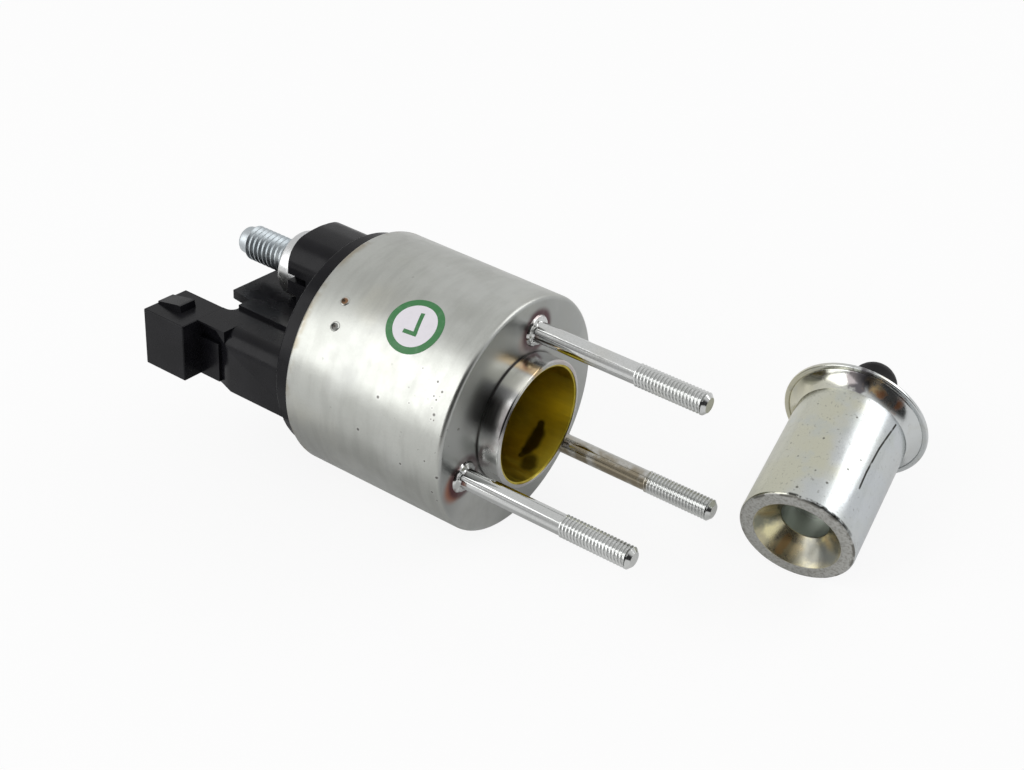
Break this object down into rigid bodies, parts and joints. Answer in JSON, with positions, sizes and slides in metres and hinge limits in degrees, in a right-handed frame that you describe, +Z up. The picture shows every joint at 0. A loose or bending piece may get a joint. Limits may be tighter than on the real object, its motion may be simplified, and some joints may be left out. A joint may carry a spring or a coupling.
{
  "type": "starter solenoid",
  "caption": "Electromagnetic switch for an engine starter: steel can with threaded mounting studs, moulded terminal cap with socket, and a sprung plunger",
  "frame": {"origin": "centre of the can's front mounting face, on the plunger's axis", "axes": "X along the axis from the can out past the mounting studs, Z up from the surface the part lies on, Y completes the set"},
  "size_m": [0.1535, 0.0948, 0.054],
  "materials": {
    "zinc_plate": "bright zinc plate, satin",
    "zinc_studs": "bright zinc plate",
    "brass": "drawn brass, lightly tarnished",
    "core_steel": "machined soft iron",
    "copper": "enamelled copper",
    "bobbin_plastic": "moulded nylon",
    "cap_plastic": "black glass-filled nylon",
    "spring_steel": "spring wire",
    "seal_rubber": "nitrile",
    "tip_plastic": "black moulded end",
    "tinned_brass": "tinned brass"
  },
  "bodies": {
    "solenoid": {"can_shell": "zinc_plate", "guide_sleeve": "brass", "mounting_studs": "zinc_studs", "bobbin": "bobbin_plastic", "pull_in_winding": "copper", "hold_in_winding": "copper", "fixed_core": "core_steel", "core_bush": "bobbin_plastic", "cap_gasket": "seal_rubber", "terminal_cap": "cap_plastic", "battery_stud": "zinc_studs", "battery_stud_collar": "zinc_studs", "motor_stud": "zinc_studs", "motor_stud_collar": "zinc_studs", "switch_blade": "tinned_brass", "switch_lead": "copper", "motor_lead": "copper", "return_spring": "spring_steel"},
    "contact_shaft": {"contact_rod": "core_steel", "rod_clip": "spring_steel", "contact_spring": "spring_steel"},
    "bridge": {"contact_bridge": "copper", "bridge_washers": "bobbin_plastic"},
    "rod_unit": {"pull_rod": "core_steel", "pull_rod_tip": "tip_plastic", "engagement_spring": "spring_steel"},
    "plunger_unit": {"plunger": "zinc_plate", "plunger_flange": "zinc_plate", "plunger_clip": "spring_steel", "spring_retainer": "core_steel"}
  },
  "joints": [
    {"name": "plunger_turn", "type": "hinge", "parent": "solenoid", "child": "rod_unit", "pos_m": [0.03936, 0.01938, -0.00845], "axis": [-0.3051, -0.2529, -0.9181], "range_deg": [0, 104.45]},
    {"name": "plunger_slide", "type": "slide", "parent": "rod_unit", "child": "plunger_unit", "axis": [0.1332, -0.9855, -0.1051], "range_m": [0, 0.009], "stiffness_N_per_m": 2000, "springref_m": -0.004, "deforming": ["engagement_spring"]},
    {"name": "contact_travel", "type": "slide", "parent": "solenoid", "child": "contact_shaft", "axis": [-1, 0, 0], "range_m": [0, 0.00295], "stiffness_N_per_m": 1500, "springref_m": -0.003, "deforming": ["return_spring"]},
    {"name": "bridge_slip", "type": "slide", "parent": "contact_shaft", "child": "bridge", "axis": [1, 0, 0], "range_m": [0, 0.001], "stiffness_N_per_m": 4000, "springref_m": -0.0015, "deforming": ["contact_spring"]}
  ]
}
